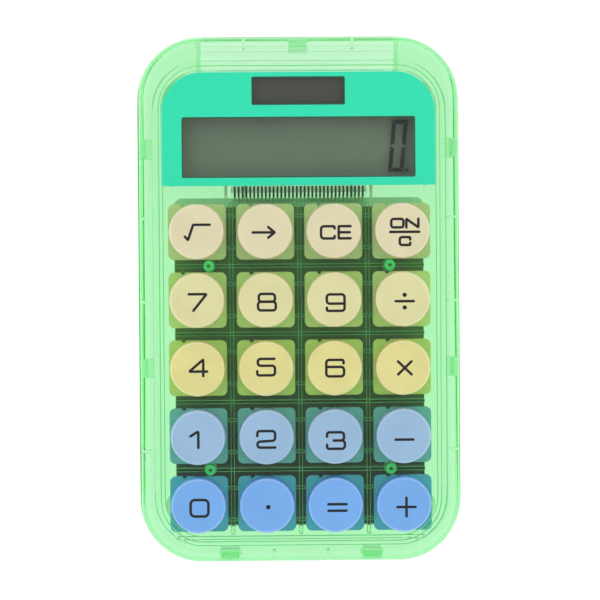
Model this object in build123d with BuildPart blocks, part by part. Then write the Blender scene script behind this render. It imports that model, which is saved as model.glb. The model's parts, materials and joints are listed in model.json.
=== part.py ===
from build123d import *
import os
from math import atan2, cos, radians, sin, tan

# A pocket-book sized desk calculator in clear tinted plastic.
# +Z is up, +Y runs from the keys to the display end, the feet stand on z = 0.
# The front half, keys, board and display are square to the parting plane, which
# leans by LEAN; heights on them are measured from that plane, KEYPAD.

# ---- driving dimensions, in millimetres and degrees ----
WIDTH, LENGTH, CORNER = 83.5, 136.4, 16.3
LEAN = 2.0
FOOT_LIFT = 0.8
REAR_FRONT_HEIGHT = 6.0
WALL, FLOOR = 1.5, 1.5
REVEAL = 0.6

RIM_WIDTH, RIM_LENGTH, RIM_CENTRE_Y, RIM_CORNER = 74.9, 124.2, -0.8, 12.2
RIM_TOP, RIM_BAND = 8.3, 1.45
SHOULDER, CROWN = 7.1, 3.2
FACE_TOP, FACE_UNDER = 7.5, 5.5
FRONT_WALL, PART_GAP = 1.6, 0.03

PITCH = 17.5
KEYPAD_Y = -17.45
CAP_RADIUS, CAP_HOLE_RADIUS, CAP_TOP = 6.97, 7.25, 11.3
FLANGE_X, FLANGE_Y, FLANGE_TOP, FLANGE_THICK = 14.95, 14.33, 5.35, 1.0
KEY_TRAVEL = 2.0
RIB, RIB_FOOT = 0.8, 1.1
RIB_BAR, BAR_HALF, BAR_REACH = 0.7, 1.05, 4.1
POST_X, POST_ROWS, POST_RADIUS, POST_FOOT = 23.3, 1.5, 1.4, -2.5

BOARD_X, BOARD_TOP_Y, BOARD_FOOT_Y, BOARD_TOP, BOARD_THICK = 64.8, 26.4, -58.8, 0.4, 1.2
MAT_TOP_Y, MAT_THICK = 24.0, 0.6
DOME_TOP = 3.5
CAP_SKIN = 1.4

LENS_X, LENS_TOP_Y, LENS_FOOT_Y, LENS_CORNER = 70.8, 58.8, 29.2, 10.2
LENS_FLOOR, LENS_THICK, MASK_THICK = 6.5, 1.1, 0.12
LCD_WINDOW = (60.0, 15.6, 39.2)
SUN_WINDOW = (24.0, 7.3, 53.65)
GLASS_X, GLASS_THICK, GLASS_TOP = 64.6, 1.1, 5.1
DIGIT_WIDE, DIGIT_HIGH, DIGIT_BAR, DIGIT_SLANT, DIGIT_THICK = 4.0, 13.4, 1.05, 5.4, 0.05
FILM_GAP = 0.02
TRACKS, TRACK_PITCH, LEAD_THICK, TRACK_THICK = 34, 1.0, 0.15, 0.08
LEAD_TOP_Y, LEAD_BEND_Y, LEAD_BOARD_Y, LEAD_FOOT_Y = 29.9, 27.3, 25.6, 24.2

CELL_RADIUS, CELL_LENGTH, CELL_Y, CELL_Z = 5.25, 43.5, 52.2, 7.7
BAY_HALF_X, BAY_NEAR_Y, BAY_FAR_Y = 26.2, 46.5, 57.9
DOOR_HALF_X, DOOR_NEAR_Y, DOOR_TOP, DOOR_LIP_TOP, DOOR_GAP = 25.3, 46.8, 2.2, 3.4, 0.15
FOOT_X, FOOT_Y, FOOT_RADIUS, FOOT_RECESS = 31.5, 54.0, 4.0, 0.3
SCREW_SEAT, SCREW_RADIUS, SCREW_HEAD_RADIUS, SCREW_HEAD_THICK = -4.3, 0.9, 2.1, 1.3

CELL_START_X = -20.9
BATTERY_WIRES = [
    [(sx * 24.3, 48.2, 9.9), (sx * 24.3, 43, 9.9), (sx * 19, 37, 7.4), (sx * 19, 25, 7.0), (sx * 19, 25, 8.35)]
    for sx in (-1, 1)
]
SOLAR_WIRES = [
    [(sx * 13, 50.2, 14.35), (sx * 13, 50.2, 13.3), (sx * 13, 47.5, 11.9), (sx * 13, 42, 9.5),
     (sx * 14, 31, 7.0), (sx * 14, 24.8, 7.0), (sx * 14, 24.8, 8.38)]
    for sx in (-1, 1)
]

CLIP_INSET, CLIP_HALF, CLIP_FOOT = 3.9, 2.4, -2.6

# ---- worked out from them ----
CLIP_STEPS = [(0.7, CLIP_FOOT, FACE_UNDER), (1.2, CLIP_FOOT, -1.75), (CLIP_INSET - 2, 0.4, FACE_UNDER)]
PART_Z = FOOT_LIFT + REAR_FRONT_HEIGHT - 0.8 + LENGTH / 2 * tan(radians(LEAN))
KEYPAD = Plane(
    origin=(0, 0, PART_Z),
    x_dir=(1, 0, 0),
    z_dir=(0, -sin(radians(LEAN)), cos(radians(LEAN))),
)
CROSS = Plane(origin=KEYPAD.origin, x_dir=KEYPAD.y_dir, z_dir=(1, 0, 0))
UPWARD = Axis(KEYPAD.origin, KEYPAD.z_dir)
GLASS_LOW = GLASS_TOP - 2 * GLASS_THICK - DIGIT_THICK - 2 * FILM_GAP
COLUMNS = [(i - 1.5) * PITCH for i in range(4)]
ROWS = [KEYPAD_Y + (2 - i) * PITCH for i in range(5)]
POSTS = [(sx * POST_X, KEYPAD_Y + sy * POST_ROWS * PITCH) for sx in (-1, 1) for sy in (-1, 1)]
KEY_NAMES = [
    ["key_root", "key_shift", "key_clear_entry", "key_on_clear"],
    ["key_7", "key_8", "key_9", "key_divide"],
    ["key_4", "key_5", "key_6", "key_multiply"],
    ["key_1", "key_2", "key_3", "key_minus"],
    ["key_0", "key_point", "key_equals", "key_plus"],
]
BOARD_PEGS = [(-29, 20), (29, 20), (-29, -17.45), (29, -17.45), (-17.5, -56), (17.5, -56)]
CLIPS = [(-1, 39.0), (-1, -17.5), (1, 39.0), (1, -17.5)]
END_CLIPS = [(-1, -18.4), (-1, 18.4), (1, 0.0)]
SIDE_GUSSETS = [21.1, -0.4, -39.0]
END_GUSSETS = [(1, -14.0), (1, 14.0), (-1, -7.0), (-1, 7.0)]

os.makedirs("parts", exist_ok=True)


def floor_depth(y):
    """How far the tray's floor lies below the parting plane at y."""
    return PART_Z + y * tan(radians(LEAN)) - FOOT_LIFT - FLOOR


def block(x0, x1, y0, y1, z0, z1, mode=Mode.ADD):
    """A box between two corners, in whichever part is being built."""
    with Locations(((x0 + x1) / 2, (y0 + y1) / 2, (z0 + z1) / 2)):
        Box(x1 - x0, y1 - y0, z1 - z0, mode=mode)


def lens_outline(grow):
    """The display lens: large corners that follow the rim at the top, square ones at the foot."""
    half, top, foot, corner = LENS_X / 2 + grow, LENS_TOP_Y + grow, LENS_FOOT_Y - grow, LENS_CORNER
    with BuildLine() as outline:
        Polyline((-half, top - corner), (-half, foot), (half, foot), (half, top - corner))
        RadiusArc((half, top - corner), (half - corner, top), -corner)
        Line((half - corner, top), (corner - half, top))
        RadiusArc((corner - half, top), (-half, top - corner), -corner)
    make_face(outline.line.edges())


def window(size, grow, mode=Mode.ADD):
    """A window of the display, as (width, height, centre y), grown all round."""
    width, height, centre = size
    with Locations((0, centre)):
        RectangleRounded(width + 2 * grow, height + 2 * grow, 0.5 + grow / 2, mode=mode)


def digit_zero(x, y):
    """The segments of a slanted seven-segment nought, with its lower left corner at x, y."""
    wide, high, bar, gap = DIGIT_WIDE, DIGIT_HIGH, DIGIT_BAR, 0.12
    level = [(gap, 0), (wide - gap, 0), (wide - gap - bar, bar), (gap + bar, bar)]
    upright = [(0, gap), (bar, gap + bar), (bar, high / 2 - gap - bar / 2), (0, high / 2 - gap)]
    strokes = [level, [(u, high - v) for u, v in level]]
    for corners in (upright, [(u, high - v) for u, v in upright]):
        strokes += [corners, [(wide - u, v) for u, v in corners]]
    for corners in strokes:
        Polygon(*[(x + u + v * tan(radians(DIGIT_SLANT)), y + v) for u, v in corners], align=None)


def lead_section(low, high):
    """A layer of the display lead between two heights above the board, in the Y-Z plane."""
    top, foot = GLASS_LOW + GLASS_THICK, BOARD_TOP
    turn = atan2(top - foot, LEAD_BEND_Y - LEAD_BOARD_Y) / 2
    path = []
    for rise in (low, high):
        shift = rise * tan(turn)
        knees = [(LEAD_BEND_Y - shift, top + rise), (LEAD_BOARD_Y - shift, foot + rise)]
        path.append([(LEAD_TOP_Y, top + rise), *knees, (LEAD_FOOT_Y, foot + rise)])
    Polygon(*path[0], *reversed(path[1]), align=None)


# ---- front shell: crowned wall, raised rim, face with key holes, ribs and screw posts ----
with BuildPart(KEYPAD) as front_shell:
    with BuildSketch(KEYPAD.offset(PART_GAP)):
        RectangleRounded(WIDTH - 2 * REVEAL, LENGTH - 2 * REVEAL, CORNER - REVEAL)
    extrude(amount=SHOULDER - PART_GAP)
    fillet(front_shell.edges().group_by(UPWARD)[-1], CROWN)
    with BuildSketch(KEYPAD.offset(SHOULDER - 1)):
        with Locations((0, RIM_CENTRE_Y)):
            RectangleRounded(RIM_WIDTH, RIM_LENGTH, RIM_CORNER)
    extrude(amount=RIM_TOP - SHOULDER + 1)
    fillet(front_shell.edges().group_by(UPWARD)[-1], 0.5)
    with BuildSketch(KEYPAD.offset(RIM_TOP)):
        with Locations((0, RIM_CENTRE_Y)):
            RectangleRounded(RIM_WIDTH - 2 * RIM_BAND, RIM_LENGTH - 2 * RIM_BAND, RIM_CORNER - RIM_BAND)
    extrude(amount=FACE_TOP - RIM_TOP, mode=Mode.SUBTRACT)
    with BuildSketch(KEYPAD.offset(PART_GAP)):
        inner = 2 * (REVEAL + FRONT_WALL)
        RectangleRounded(WIDTH - inner, LENGTH - inner, CORNER - inner / 2)
    extrude(amount=FACE_UNDER - PART_GAP, mode=Mode.SUBTRACT)
    with BuildSketch(KEYPAD.offset(LENS_FLOOR)):
        lens_outline(0.15)
    extrude(amount=RIM_TOP - LENS_FLOOR, mode=Mode.SUBTRACT)
    with BuildSketch(KEYPAD.offset(FACE_UNDER)):
        window(LCD_WINDOW, 0.8)
        window(SUN_WINDOW, 0.6)
    extrude(amount=RIM_TOP - FACE_UNDER, mode=Mode.SUBTRACT)
    with BuildSketch(KEYPAD.offset(FACE_UNDER)):
        with Locations(*[(x, y) for x in COLUMNS for y in ROWS]):
            Circle(CAP_HOLE_RADIUS)
    extrude(amount=RIM_TOP - FACE_UNDER, mode=Mode.SUBTRACT)

    for i in range(4):
        rib_y = KEYPAD_Y + (1.5 - i) * PITCH
        block(-32, 32, rib_y - RIB / 2, rib_y + RIB / 2, RIB_FOOT, FACE_UNDER)
    for i in range(3):
        rib_x = (i - 1) * PITCH
        rib_end_y = ROWS[4] - PITCH / 2 + 1.0
        rib_start_y = ROWS[0] + FLANGE_Y / 2 - 1.0
        block(rib_x - RIB / 2, rib_x + RIB / 2, rib_end_y, rib_start_y, RIB_FOOT, FACE_UNDER)
        for row_y in ROWS:
            notch = row_y - 3.7, row_y + 3.7
            block(rib_x - 1, rib_x + 1, *notch, RIB_FOOT, 3.4, mode=Mode.SUBTRACT)
            for side in (-BAR_REACH, BAR_REACH):
                bar_y = row_y + side
                bar = rib_x - BAR_HALF, rib_x + BAR_HALF
                block(*bar, bar_y - RIB_BAR / 2, bar_y + RIB_BAR / 2, 3.4, FACE_UNDER)
    with BuildSketch(KEYPAD.offset(FACE_UNDER)):
        with Locations(*POSTS):
            Circle(POST_RADIUS)
    extrude(amount=POST_FOOT - FACE_UNDER)
    with BuildSketch(KEYPAD.offset(POST_FOOT)):
        with Locations(*POSTS):
            Circle(SCREW_RADIUS + 0.03)
    extrude(amount=5.5, mode=Mode.SUBTRACT)

    # fences that locate the display glass and the solar cell
    for side in (-1, 1):
        fence = sorted((side * (GLASS_X / 2 + 0.2), side * (GLASS_X / 2 + 1.0)))
        block(*fence, 30.5, 48.2, 2.9, FACE_UNDER)
        fence = sorted((side * 14.2, side * 15.0))
        block(*fence, 49.6, 57.8, 3.6, FACE_UNDER)
    block(-28, 28, 48.35, 48.95, 3.6, FACE_UNDER)

    # snap fingers round the wall, with a barb that hooks under the rear shell's ledge
    for side, clip_y in CLIPS:
        for depth, low, high in CLIP_STEPS:
            finger = sorted((side * (WIDTH / 2 - CLIP_INSET), side * (WIDTH / 2 - CLIP_INSET + depth)))
            block(*finger, clip_y - CLIP_HALF, clip_y + CLIP_HALF, low, high)
    for side, clip_x in END_CLIPS:
        for depth, low, high in CLIP_STEPS:
            finger = sorted((side * (LENGTH / 2 - CLIP_INSET), side * (LENGTH / 2 - CLIP_INSET + depth)))
            block(clip_x - CLIP_HALF, clip_x + CLIP_HALF, *finger, low, high)

    # small gussets that stiffen the wall between the clips
    for side in (-1, 1):
        for gusset_y in SIDE_GUSSETS:
            gusset = sorted((side * 38.3, side * (WIDTH / 2 - 2.0)))
            block(*gusset, gusset_y - 0.35, gusset_y + 0.35, 1.5, FACE_UNDER)
    for side, gusset_x in END_GUSSETS:
        gusset = sorted((side * 64.7, side * (LENGTH / 2 - 2.0)))
        block(gusset_x - 0.35, gusset_x + 0.35, *gusset, 1.5, FACE_UNDER)
front_shell.part.label = "front_shell"
export_step(front_shell.part, "parts/front_shell.step")

# ---- rear shell: tray with a level floor and a leaning rim ----
with BuildPart() as hull:
    with BuildSketch(Plane.XY.offset(FOOT_LIFT)):
        RectangleRounded(WIDTH, LENGTH, CORNER)
    extrude(amount=16)
    fillet(hull.edges().group_by(Axis.Z)[0], 3.0)
    split(bisect_by=KEYPAD, keep=Keep.BOTTOM)

with BuildPart() as tray_space:
    with BuildSketch(Plane.XY.offset(FOOT_LIFT + FLOOR)):
        RectangleRounded(WIDTH - 2 * WALL, LENGTH - 2 * WALL, CORNER - WALL)
    extrude(amount=16)
    fillet(tray_space.edges().group_by(Axis.Z)[0], 1.6)

with BuildPart() as rear_shell:
    add(hull.part)
    add(tray_space.part, mode=Mode.SUBTRACT)
    for post_x, post_y in POSTS:
        with BuildSketch(KEYPAD.offset(POST_FOOT)):
            with Locations((post_x, post_y)):
                Circle(3.3)
        extrude(amount=-(floor_depth(post_y) + POST_FOOT + 0.6))
    for peg_x, peg_y in BOARD_PEGS:
        with BuildSketch(KEYPAD.offset(BOARD_TOP - BOARD_THICK)):
            with Locations((peg_x, peg_y)):
                Circle(1.6)
        extrude(amount=-(floor_depth(peg_y) + BOARD_TOP - BOARD_THICK + 0.6))
    with BuildSketch(KEYPAD.offset(SCREW_SEAT)):
        with Locations(*POSTS):
            Circle(SCREW_HEAD_RADIUS + 0.25)
    extrude(amount=-12, mode=Mode.SUBTRACT)
    with BuildSketch(KEYPAD.offset(POST_FOOT)):
        with Locations(*POSTS):
            Circle(SCREW_RADIUS + 0.25)
    extrude(amount=-6, mode=Mode.SUBTRACT)

    # ledges that the snap fingers hook under
    with BuildSketch(KEYPAD.offset(-1.6)):
        for side, clip_y in CLIPS:
            with Locations((side * (WIDTH / 2 - 2.1), clip_y)):
                Rectangle(1.7, 6.0)
        for side, clip_x in END_CLIPS:
            with Locations((clip_x, side * (LENGTH / 2 - 2.1))):
                Rectangle(6.0, 1.7)
    extrude(amount=1.0)

    # battery bay: walls round the cell, open below for the door
    bay_top = 9.0
    block(-BAY_HALF_X, BAY_HALF_X, BAY_NEAR_Y - 1, BAY_NEAR_Y, FOOT_LIFT + 0.5, bay_top)
    block(-BAY_HALF_X, BAY_HALF_X, BAY_FAR_Y, BAY_FAR_Y + 1, FOOT_LIFT + 0.5, bay_top)
    for side in (-1, 1):
        bay_end = sorted((side * BAY_HALF_X, side * (BAY_HALF_X - 1)))
        block(*bay_end, BAY_NEAR_Y, BAY_FAR_Y, FOOT_LIFT + 0.5, bay_top)
    door_half = DOOR_HALF_X + DOOR_GAP
    door_near, door_top = DOOR_NEAR_Y - DOOR_GAP, DOOR_TOP + DOOR_GAP
    block(-door_half, door_half, door_near, 75, 0, door_top, mode=Mode.SUBTRACT)
    block(-door_half, door_half, LENGTH / 2 - WALL - 1, 75, 0, DOOR_LIP_TOP + DOOR_GAP, mode=Mode.SUBTRACT)
    for side in (-1, 1):
        groove = sorted((side * (door_half - 0.1), side * (door_half + 1.2)))
        block(*groove, 52, 60.9, 1.2, 1.9, mode=Mode.SUBTRACT)
        groove = sorted((side * (door_half - 0.1), side * (door_half + 1.2)))
        block(*groove, 60.8, 75, 1.2, 1.9, mode=Mode.SUBTRACT)
    with BuildSketch(Plane.XY.offset(FOOT_LIFT)):
        with GridLocations(2 * FOOT_X, 2 * FOOT_Y, 2, 2):
            Circle(FOOT_RADIUS + 0.1)
    extrude(amount=FOOT_RECESS, mode=Mode.SUBTRACT)
rear_shell.part.label = "rear_shell"
export_step(rear_shell.part, "parts/rear_shell.step")

with BuildPart() as battery_door:
    add(hull.part)
    block(-DOOR_HALF_X, DOOR_HALF_X, DOOR_NEAR_Y, 75, 0, DOOR_LIP_TOP, mode=Mode.INTERSECT)
    lip_y = LENGTH / 2 - WALL
    block(-50, 50, 40, lip_y, DOOR_TOP, 20, mode=Mode.SUBTRACT)
    for side in (-1, 1):
        tongue = sorted((side * (DOOR_HALF_X - 0.5), side * (DOOR_HALF_X + 0.9)))
        block(*tongue, 52.4, 59.4, 1.35, 1.75)
    for i in range(5):
        grip_y = 56.5 + 1.6 * i
        block(-8, 8, grip_y - 0.35, grip_y + 0.35, 0, FOOT_LIFT + 0.4, mode=Mode.SUBTRACT)
battery_door.part.label = "battery_door"
export_step(battery_door.part, "parts/battery_door.step")

with BuildPart() as case_screws:
    with BuildSketch(KEYPAD.offset(SCREW_SEAT)):
        with Locations(*POSTS):
            Circle(SCREW_HEAD_RADIUS)
    extrude(amount=-SCREW_HEAD_THICK)
    with BuildSketch(KEYPAD.offset(SCREW_SEAT)):
        with Locations(*POSTS):
            Circle(SCREW_RADIUS)
    extrude(amount=6.5)
    with BuildSketch(KEYPAD.offset(SCREW_SEAT - SCREW_HEAD_THICK)):
        for post in POSTS:
            with Locations(post):
                Rectangle(2.6, 0.6)
                Rectangle(0.6, 2.6)
    extrude(amount=0.7, mode=Mode.SUBTRACT)
case_screws.part.label = "case_screws"
export_step(case_screws.part, "parts/case_screws.step")

with BuildPart() as rubber_feet:
    with BuildSketch(Plane.XY):
        with GridLocations(2 * FOOT_X, 2 * FOOT_Y, 2, 2):
            Circle(FOOT_RADIUS)
    extrude(amount=FOOT_LIFT + FOOT_RECESS)
    chamfer(rubber_feet.edges().group_by(Axis.Z)[0], 0.3)
rubber_feet.part.label = "rubber_feet"
export_step(rubber_feet.part, "parts/rubber_feet.step")

# ---- display ----
with BuildPart(KEYPAD) as display_mask:
    with BuildSketch(KEYPAD.offset(LENS_FLOOR + 0.01)):
        lens_outline(-0.35)
        window(LCD_WINDOW, 0, mode=Mode.SUBTRACT)
        window(SUN_WINDOW, 0, mode=Mode.SUBTRACT)
    extrude(amount=MASK_THICK)
display_mask.part.label = "display_mask"
export_step(display_mask.part, "parts/display_mask.step")

with BuildPart(KEYPAD) as display_lens:
    with BuildSketch(KEYPAD.offset(LENS_FLOOR + MASK_THICK + FILM_GAP)):
        lens_outline(0)
    extrude(amount=LENS_THICK)
    chamfer(display_lens.edges().group_by(UPWARD)[-1], 0.3)
display_lens.part.label = "display_lens"
export_step(display_lens.part, "parts/display_lens.step")

with BuildPart(KEYPAD) as solar_cell:
    block(-14.0, 14.0, 49.8, 57.5, 4.3, 5.4)
solar_cell.part.label = "solar_cell"
export_step(solar_cell.part, "parts/solar_cell.step")

with BuildPart(KEYPAD) as lcd_upper_glass:
    block(-GLASS_X / 2, GLASS_X / 2, 30.4, 48.0, GLASS_TOP - GLASS_THICK, GLASS_TOP)
lcd_upper_glass.part.label = "lcd_upper_glass"
export_step(lcd_upper_glass.part, "parts/lcd_upper_glass.step")

with BuildPart(KEYPAD) as lcd_lower_glass:
    block(-GLASS_X / 2, GLASS_X / 2, 27.6, 48.0, GLASS_LOW, GLASS_LOW + GLASS_THICK)
lcd_lower_glass.part.label = "lcd_lower_glass"
export_step(lcd_lower_glass.part, "parts/lcd_lower_glass.step")

with BuildPart(KEYPAD) as lcd_front_polariser:
    block(-31.4, 31.4, 30.9, 47.6, GLASS_TOP + FILM_GAP, GLASS_TOP + 0.2)
lcd_front_polariser.part.label = "lcd_front_polariser"
export_step(lcd_front_polariser.part, "parts/lcd_front_polariser.step")

with BuildPart(KEYPAD) as lcd_reflector:
    block(-31.4, 31.4, 30.9, 47.6, GLASS_LOW - 0.25, GLASS_LOW - FILM_GAP)
lcd_reflector.part.label = "lcd_reflector"
export_step(lcd_reflector.part, "parts/lcd_reflector.step")

with BuildPart(KEYPAD) as lcd_digits:
    with BuildSketch(KEYPAD.offset(GLASS_LOW + GLASS_THICK + FILM_GAP)):
        digit_zero(23.05, 32.8)
        with Locations((27.85, 33.2)):
            Circle(0.45)
    extrude(amount=DIGIT_THICK)
lcd_digits.part.label = "lcd_digits"
export_step(lcd_digits.part, "parts/lcd_digits.step")

with BuildPart(KEYPAD) as lcd_lead:
    with BuildSketch(CROSS.offset(-TRACKS * TRACK_PITCH / 2 - 0.5)):
        lead_section(0, LEAD_THICK)
    extrude(amount=TRACKS * TRACK_PITCH + 1)
lcd_lead.part.label = "lcd_lead"
export_step(lcd_lead.part, "parts/lcd_lead.step")

with BuildPart(KEYPAD) as lcd_lead_tracks:
    for i in range(TRACKS):
        track_x = (i - (TRACKS - 1) / 2) * TRACK_PITCH
        with BuildSketch(CROSS.offset(track_x - 0.26)):
            lead_section(LEAD_THICK, LEAD_THICK + 0.08)
        extrude(amount=0.52)
lcd_lead_tracks.part.label = "lcd_lead_tracks"
export_step(lcd_lead_tracks.part, "parts/lcd_lead_tracks.step")

# ---- board, keypad mat and keys ----
with BuildPart(KEYPAD) as circuit_board:
    block(-BOARD_X / 2, BOARD_X / 2, BOARD_FOOT_Y, BOARD_TOP_Y, BOARD_TOP - BOARD_THICK, BOARD_TOP)
    fillet(circuit_board.edges().filter_by(UPWARD), 2.0)
    with Locations(*[(x, y, BOARD_TOP - BOARD_THICK / 2) for x, y in POSTS]):
        Cylinder(POST_RADIUS + 0.2, BOARD_THICK, mode=Mode.SUBTRACT)
circuit_board.part.label = "circuit_board"
export_step(circuit_board.part, "parts/circuit_board.step")

with BuildPart(KEYPAD) as keypad_mat:
    block(-32.2, 32.2, -58.4, MAT_TOP_Y, BOARD_TOP, BOARD_TOP + MAT_THICK)
    with Locations(*[(x, y, BOARD_TOP) for x in COLUMNS for y in ROWS]):
        dome_height = DOME_TOP - BOARD_TOP
        Cone(4.4, 2.2, dome_height, align=(Align.CENTER, Align.CENTER, Align.MIN))
        Cone(3.9, 1.7, dome_height - 0.5, align=(Align.CENTER, Align.CENTER, Align.MIN), mode=Mode.SUBTRACT)
    with Locations(*[(x, y, BOARD_TOP + MAT_THICK / 2) for x, y in POSTS]):
        Cylinder(POST_RADIUS + 0.35, MAT_THICK, mode=Mode.SUBTRACT)
keypad_mat.part.label = "keypad_mat"
export_step(keypad_mat.part, "parts/keypad_mat.step")

with BuildPart(KEYPAD) as chip_blob:
    with Locations((0, 4, BOARD_TOP - BOARD_THICK - 0.75)):
        Cylinder(7.0, 1.5)
    fillet(chip_blob.edges().group_by(UPWARD)[0], 1.3)
chip_blob.part.label = "chip_blob"
export_step(chip_blob.part, "parts/chip_blob.step")

with BuildPart(KEYPAD) as capacitors:
    with BuildSketch(KEYPAD.offset(BOARD_TOP - BOARD_THICK)):
        with Locations((-18, 13), (-12, 13), (17, 12)):
            Circle(2.2)
    extrude(amount=-3.4)
    fillet(capacitors.edges().group_by(UPWARD)[0], 0.4)
capacitors.part.label = "capacitors"
export_step(capacitors.part, "parts/capacitors.step")

for row_y, names in zip(ROWS, KEY_NAMES):
    for column_x, name in zip(COLUMNS, names):
        with BuildPart(KEYPAD) as key:
            with BuildSketch(KEYPAD.offset(FLANGE_TOP)):
                with Locations((column_x, row_y)):
                    RectangleRounded(FLANGE_X, FLANGE_Y, 1.5)
                with Locations((column_x - 3.7, row_y + FLANGE_Y / 2)):
                    Circle(0.95, mode=Mode.SUBTRACT)
            extrude(amount=-FLANGE_THICK)
            with BuildSketch(KEYPAD.offset(FLANGE_TOP)):
                with Locations((column_x, row_y)):
                    Circle(CAP_RADIUS)
            extrude(amount=CAP_TOP - FLANGE_TOP)
            fillet(key.edges().group_by(UPWARD)[-1], 0.7)
            with BuildSketch(KEYPAD.offset(FLANGE_TOP - FLANGE_THICK)):
                with Locations((column_x, row_y)):
                    Circle(CAP_RADIUS - 1.2)
            extrude(amount=CAP_TOP - CAP_SKIN - FLANGE_TOP + FLANGE_THICK, mode=Mode.SUBTRACT)
            with BuildSketch(KEYPAD.offset(DOME_TOP + 0.05)):
                with Locations((column_x, row_y)):
                    Circle(1.9)
            extrude(amount=CAP_TOP - CAP_SKIN - DOME_TOP)
        key.part.label = name
        export_step(key.part, f"parts/{name}.step")

# ---- battery, its contacts and the wires ----
with BuildPart() as battery_cell:
    with BuildSketch(Plane.YZ.offset(CELL_START_X)):
        with Locations((CELL_Y, CELL_Z)):
            Circle(CELL_RADIUS)
    extrude(amount=CELL_LENGTH)
    fillet(battery_cell.edges(), 0.4)
    with BuildSketch(Plane.YZ.offset(CELL_START_X + CELL_LENGTH)):
        with Locations((CELL_Y, CELL_Z)):
            Circle(1.9)
    extrude(amount=1.0)
battery_cell.part.label = "battery_cell"
export_step(battery_cell.part, "parts/battery_cell.step")

with BuildPart() as battery_contact_plate:
    bay_end = BAY_HALF_X - 1
    block(bay_end - 0.4, bay_end, BAY_NEAR_Y + 0.6, BAY_FAR_Y - 0.6, 3.6, 10.6)
    with BuildSketch(Plane.YZ.offset(bay_end - 0.4)):
        with Locations((CELL_Y, CELL_Z)):
            Circle(2.4)
    extrude(amount=-(bay_end - 0.4 - CELL_START_X - CELL_LENGTH - 1.0))
battery_contact_plate.part.label = "battery_contact_plate"
export_step(battery_contact_plate.part, "parts/battery_contact_plate.step")

with BuildPart() as battery_contact_spring:
    block(-bay_end, -bay_end + 0.3, BAY_NEAR_Y + 0.6, BAY_FAR_Y - 0.6, 3.6, 10.6)
    coil_start = -bay_end + 0.5
    with BuildLine() as coil:
        Helix(1.1, CELL_START_X - 0.32 - coil_start, 2.6, center=(coil_start, CELL_Y, CELL_Z), direction=(1, 0, 0))
    with BuildSketch(Plane(origin=coil.line @ 0, z_dir=coil.line % 0)):
        Circle(0.3)
    sweep()
battery_contact_spring.part.label = "battery_contact_spring"
export_step(battery_contact_spring.part, "parts/battery_contact_spring.step")

for name, routes, radius in (
    ("battery_wires", BATTERY_WIRES, 0.45),
    ("solar_wires", SOLAR_WIRES, 0.35),
):
    with BuildPart() as wires:
        for route in routes:
            with BuildLine() as path:
                FilletPolyline(*route, radius=0.6)
            with BuildSketch(Plane(origin=path.line @ 0, z_dir=path.line % 0)):
                Circle(radius)
            sweep()
    wires.part.label = name
    export_step(wires.part, f"parts/{name}.step")
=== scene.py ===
"""Desk calculator in a clear tinted case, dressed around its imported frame.

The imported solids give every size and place. Each sub-assembly is a class that
reads its places from the frame, builds the finer surfaces it needs and gives
every visible piece its finish. All lengths are in metres.
"""

from __future__ import annotations

import enum
import json
import logging
import math
from dataclasses import dataclass
from typing import Sequence

import bpy
import numpy as np
from mathutils import Matrix, Vector


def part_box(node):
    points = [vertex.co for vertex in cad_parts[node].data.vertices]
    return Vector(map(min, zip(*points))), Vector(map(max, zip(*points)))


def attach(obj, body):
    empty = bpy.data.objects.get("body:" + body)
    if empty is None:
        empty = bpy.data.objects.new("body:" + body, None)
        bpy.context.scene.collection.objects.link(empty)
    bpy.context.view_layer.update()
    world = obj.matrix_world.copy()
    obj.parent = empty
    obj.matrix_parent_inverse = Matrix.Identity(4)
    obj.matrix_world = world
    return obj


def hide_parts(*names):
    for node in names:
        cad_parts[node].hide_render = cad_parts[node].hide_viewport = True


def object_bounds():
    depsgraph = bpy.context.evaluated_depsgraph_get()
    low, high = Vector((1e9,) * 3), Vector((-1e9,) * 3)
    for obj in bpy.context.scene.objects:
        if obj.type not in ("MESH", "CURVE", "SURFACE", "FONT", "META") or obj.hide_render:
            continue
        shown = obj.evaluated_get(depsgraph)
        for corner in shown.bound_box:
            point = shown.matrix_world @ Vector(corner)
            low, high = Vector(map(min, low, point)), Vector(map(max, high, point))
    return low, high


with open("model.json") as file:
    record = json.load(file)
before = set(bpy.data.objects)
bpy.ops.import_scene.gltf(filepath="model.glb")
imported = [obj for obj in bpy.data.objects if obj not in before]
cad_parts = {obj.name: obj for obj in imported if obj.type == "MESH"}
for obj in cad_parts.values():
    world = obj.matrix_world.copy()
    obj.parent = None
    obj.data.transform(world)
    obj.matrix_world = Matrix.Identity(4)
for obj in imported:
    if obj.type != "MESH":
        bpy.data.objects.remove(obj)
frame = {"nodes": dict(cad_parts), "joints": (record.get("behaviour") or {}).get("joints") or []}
CAD_BOX = [[float(v) for v in corner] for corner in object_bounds()]

MM = 0.001
LOG = logging.getLogger("calculator")
CASE_BODY = "case"
FLANGE_MIDDLE = 4.85 * MM
Colour = tuple[float, float, float]


# ---------------------------------------------------------------- the keypad plane


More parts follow.
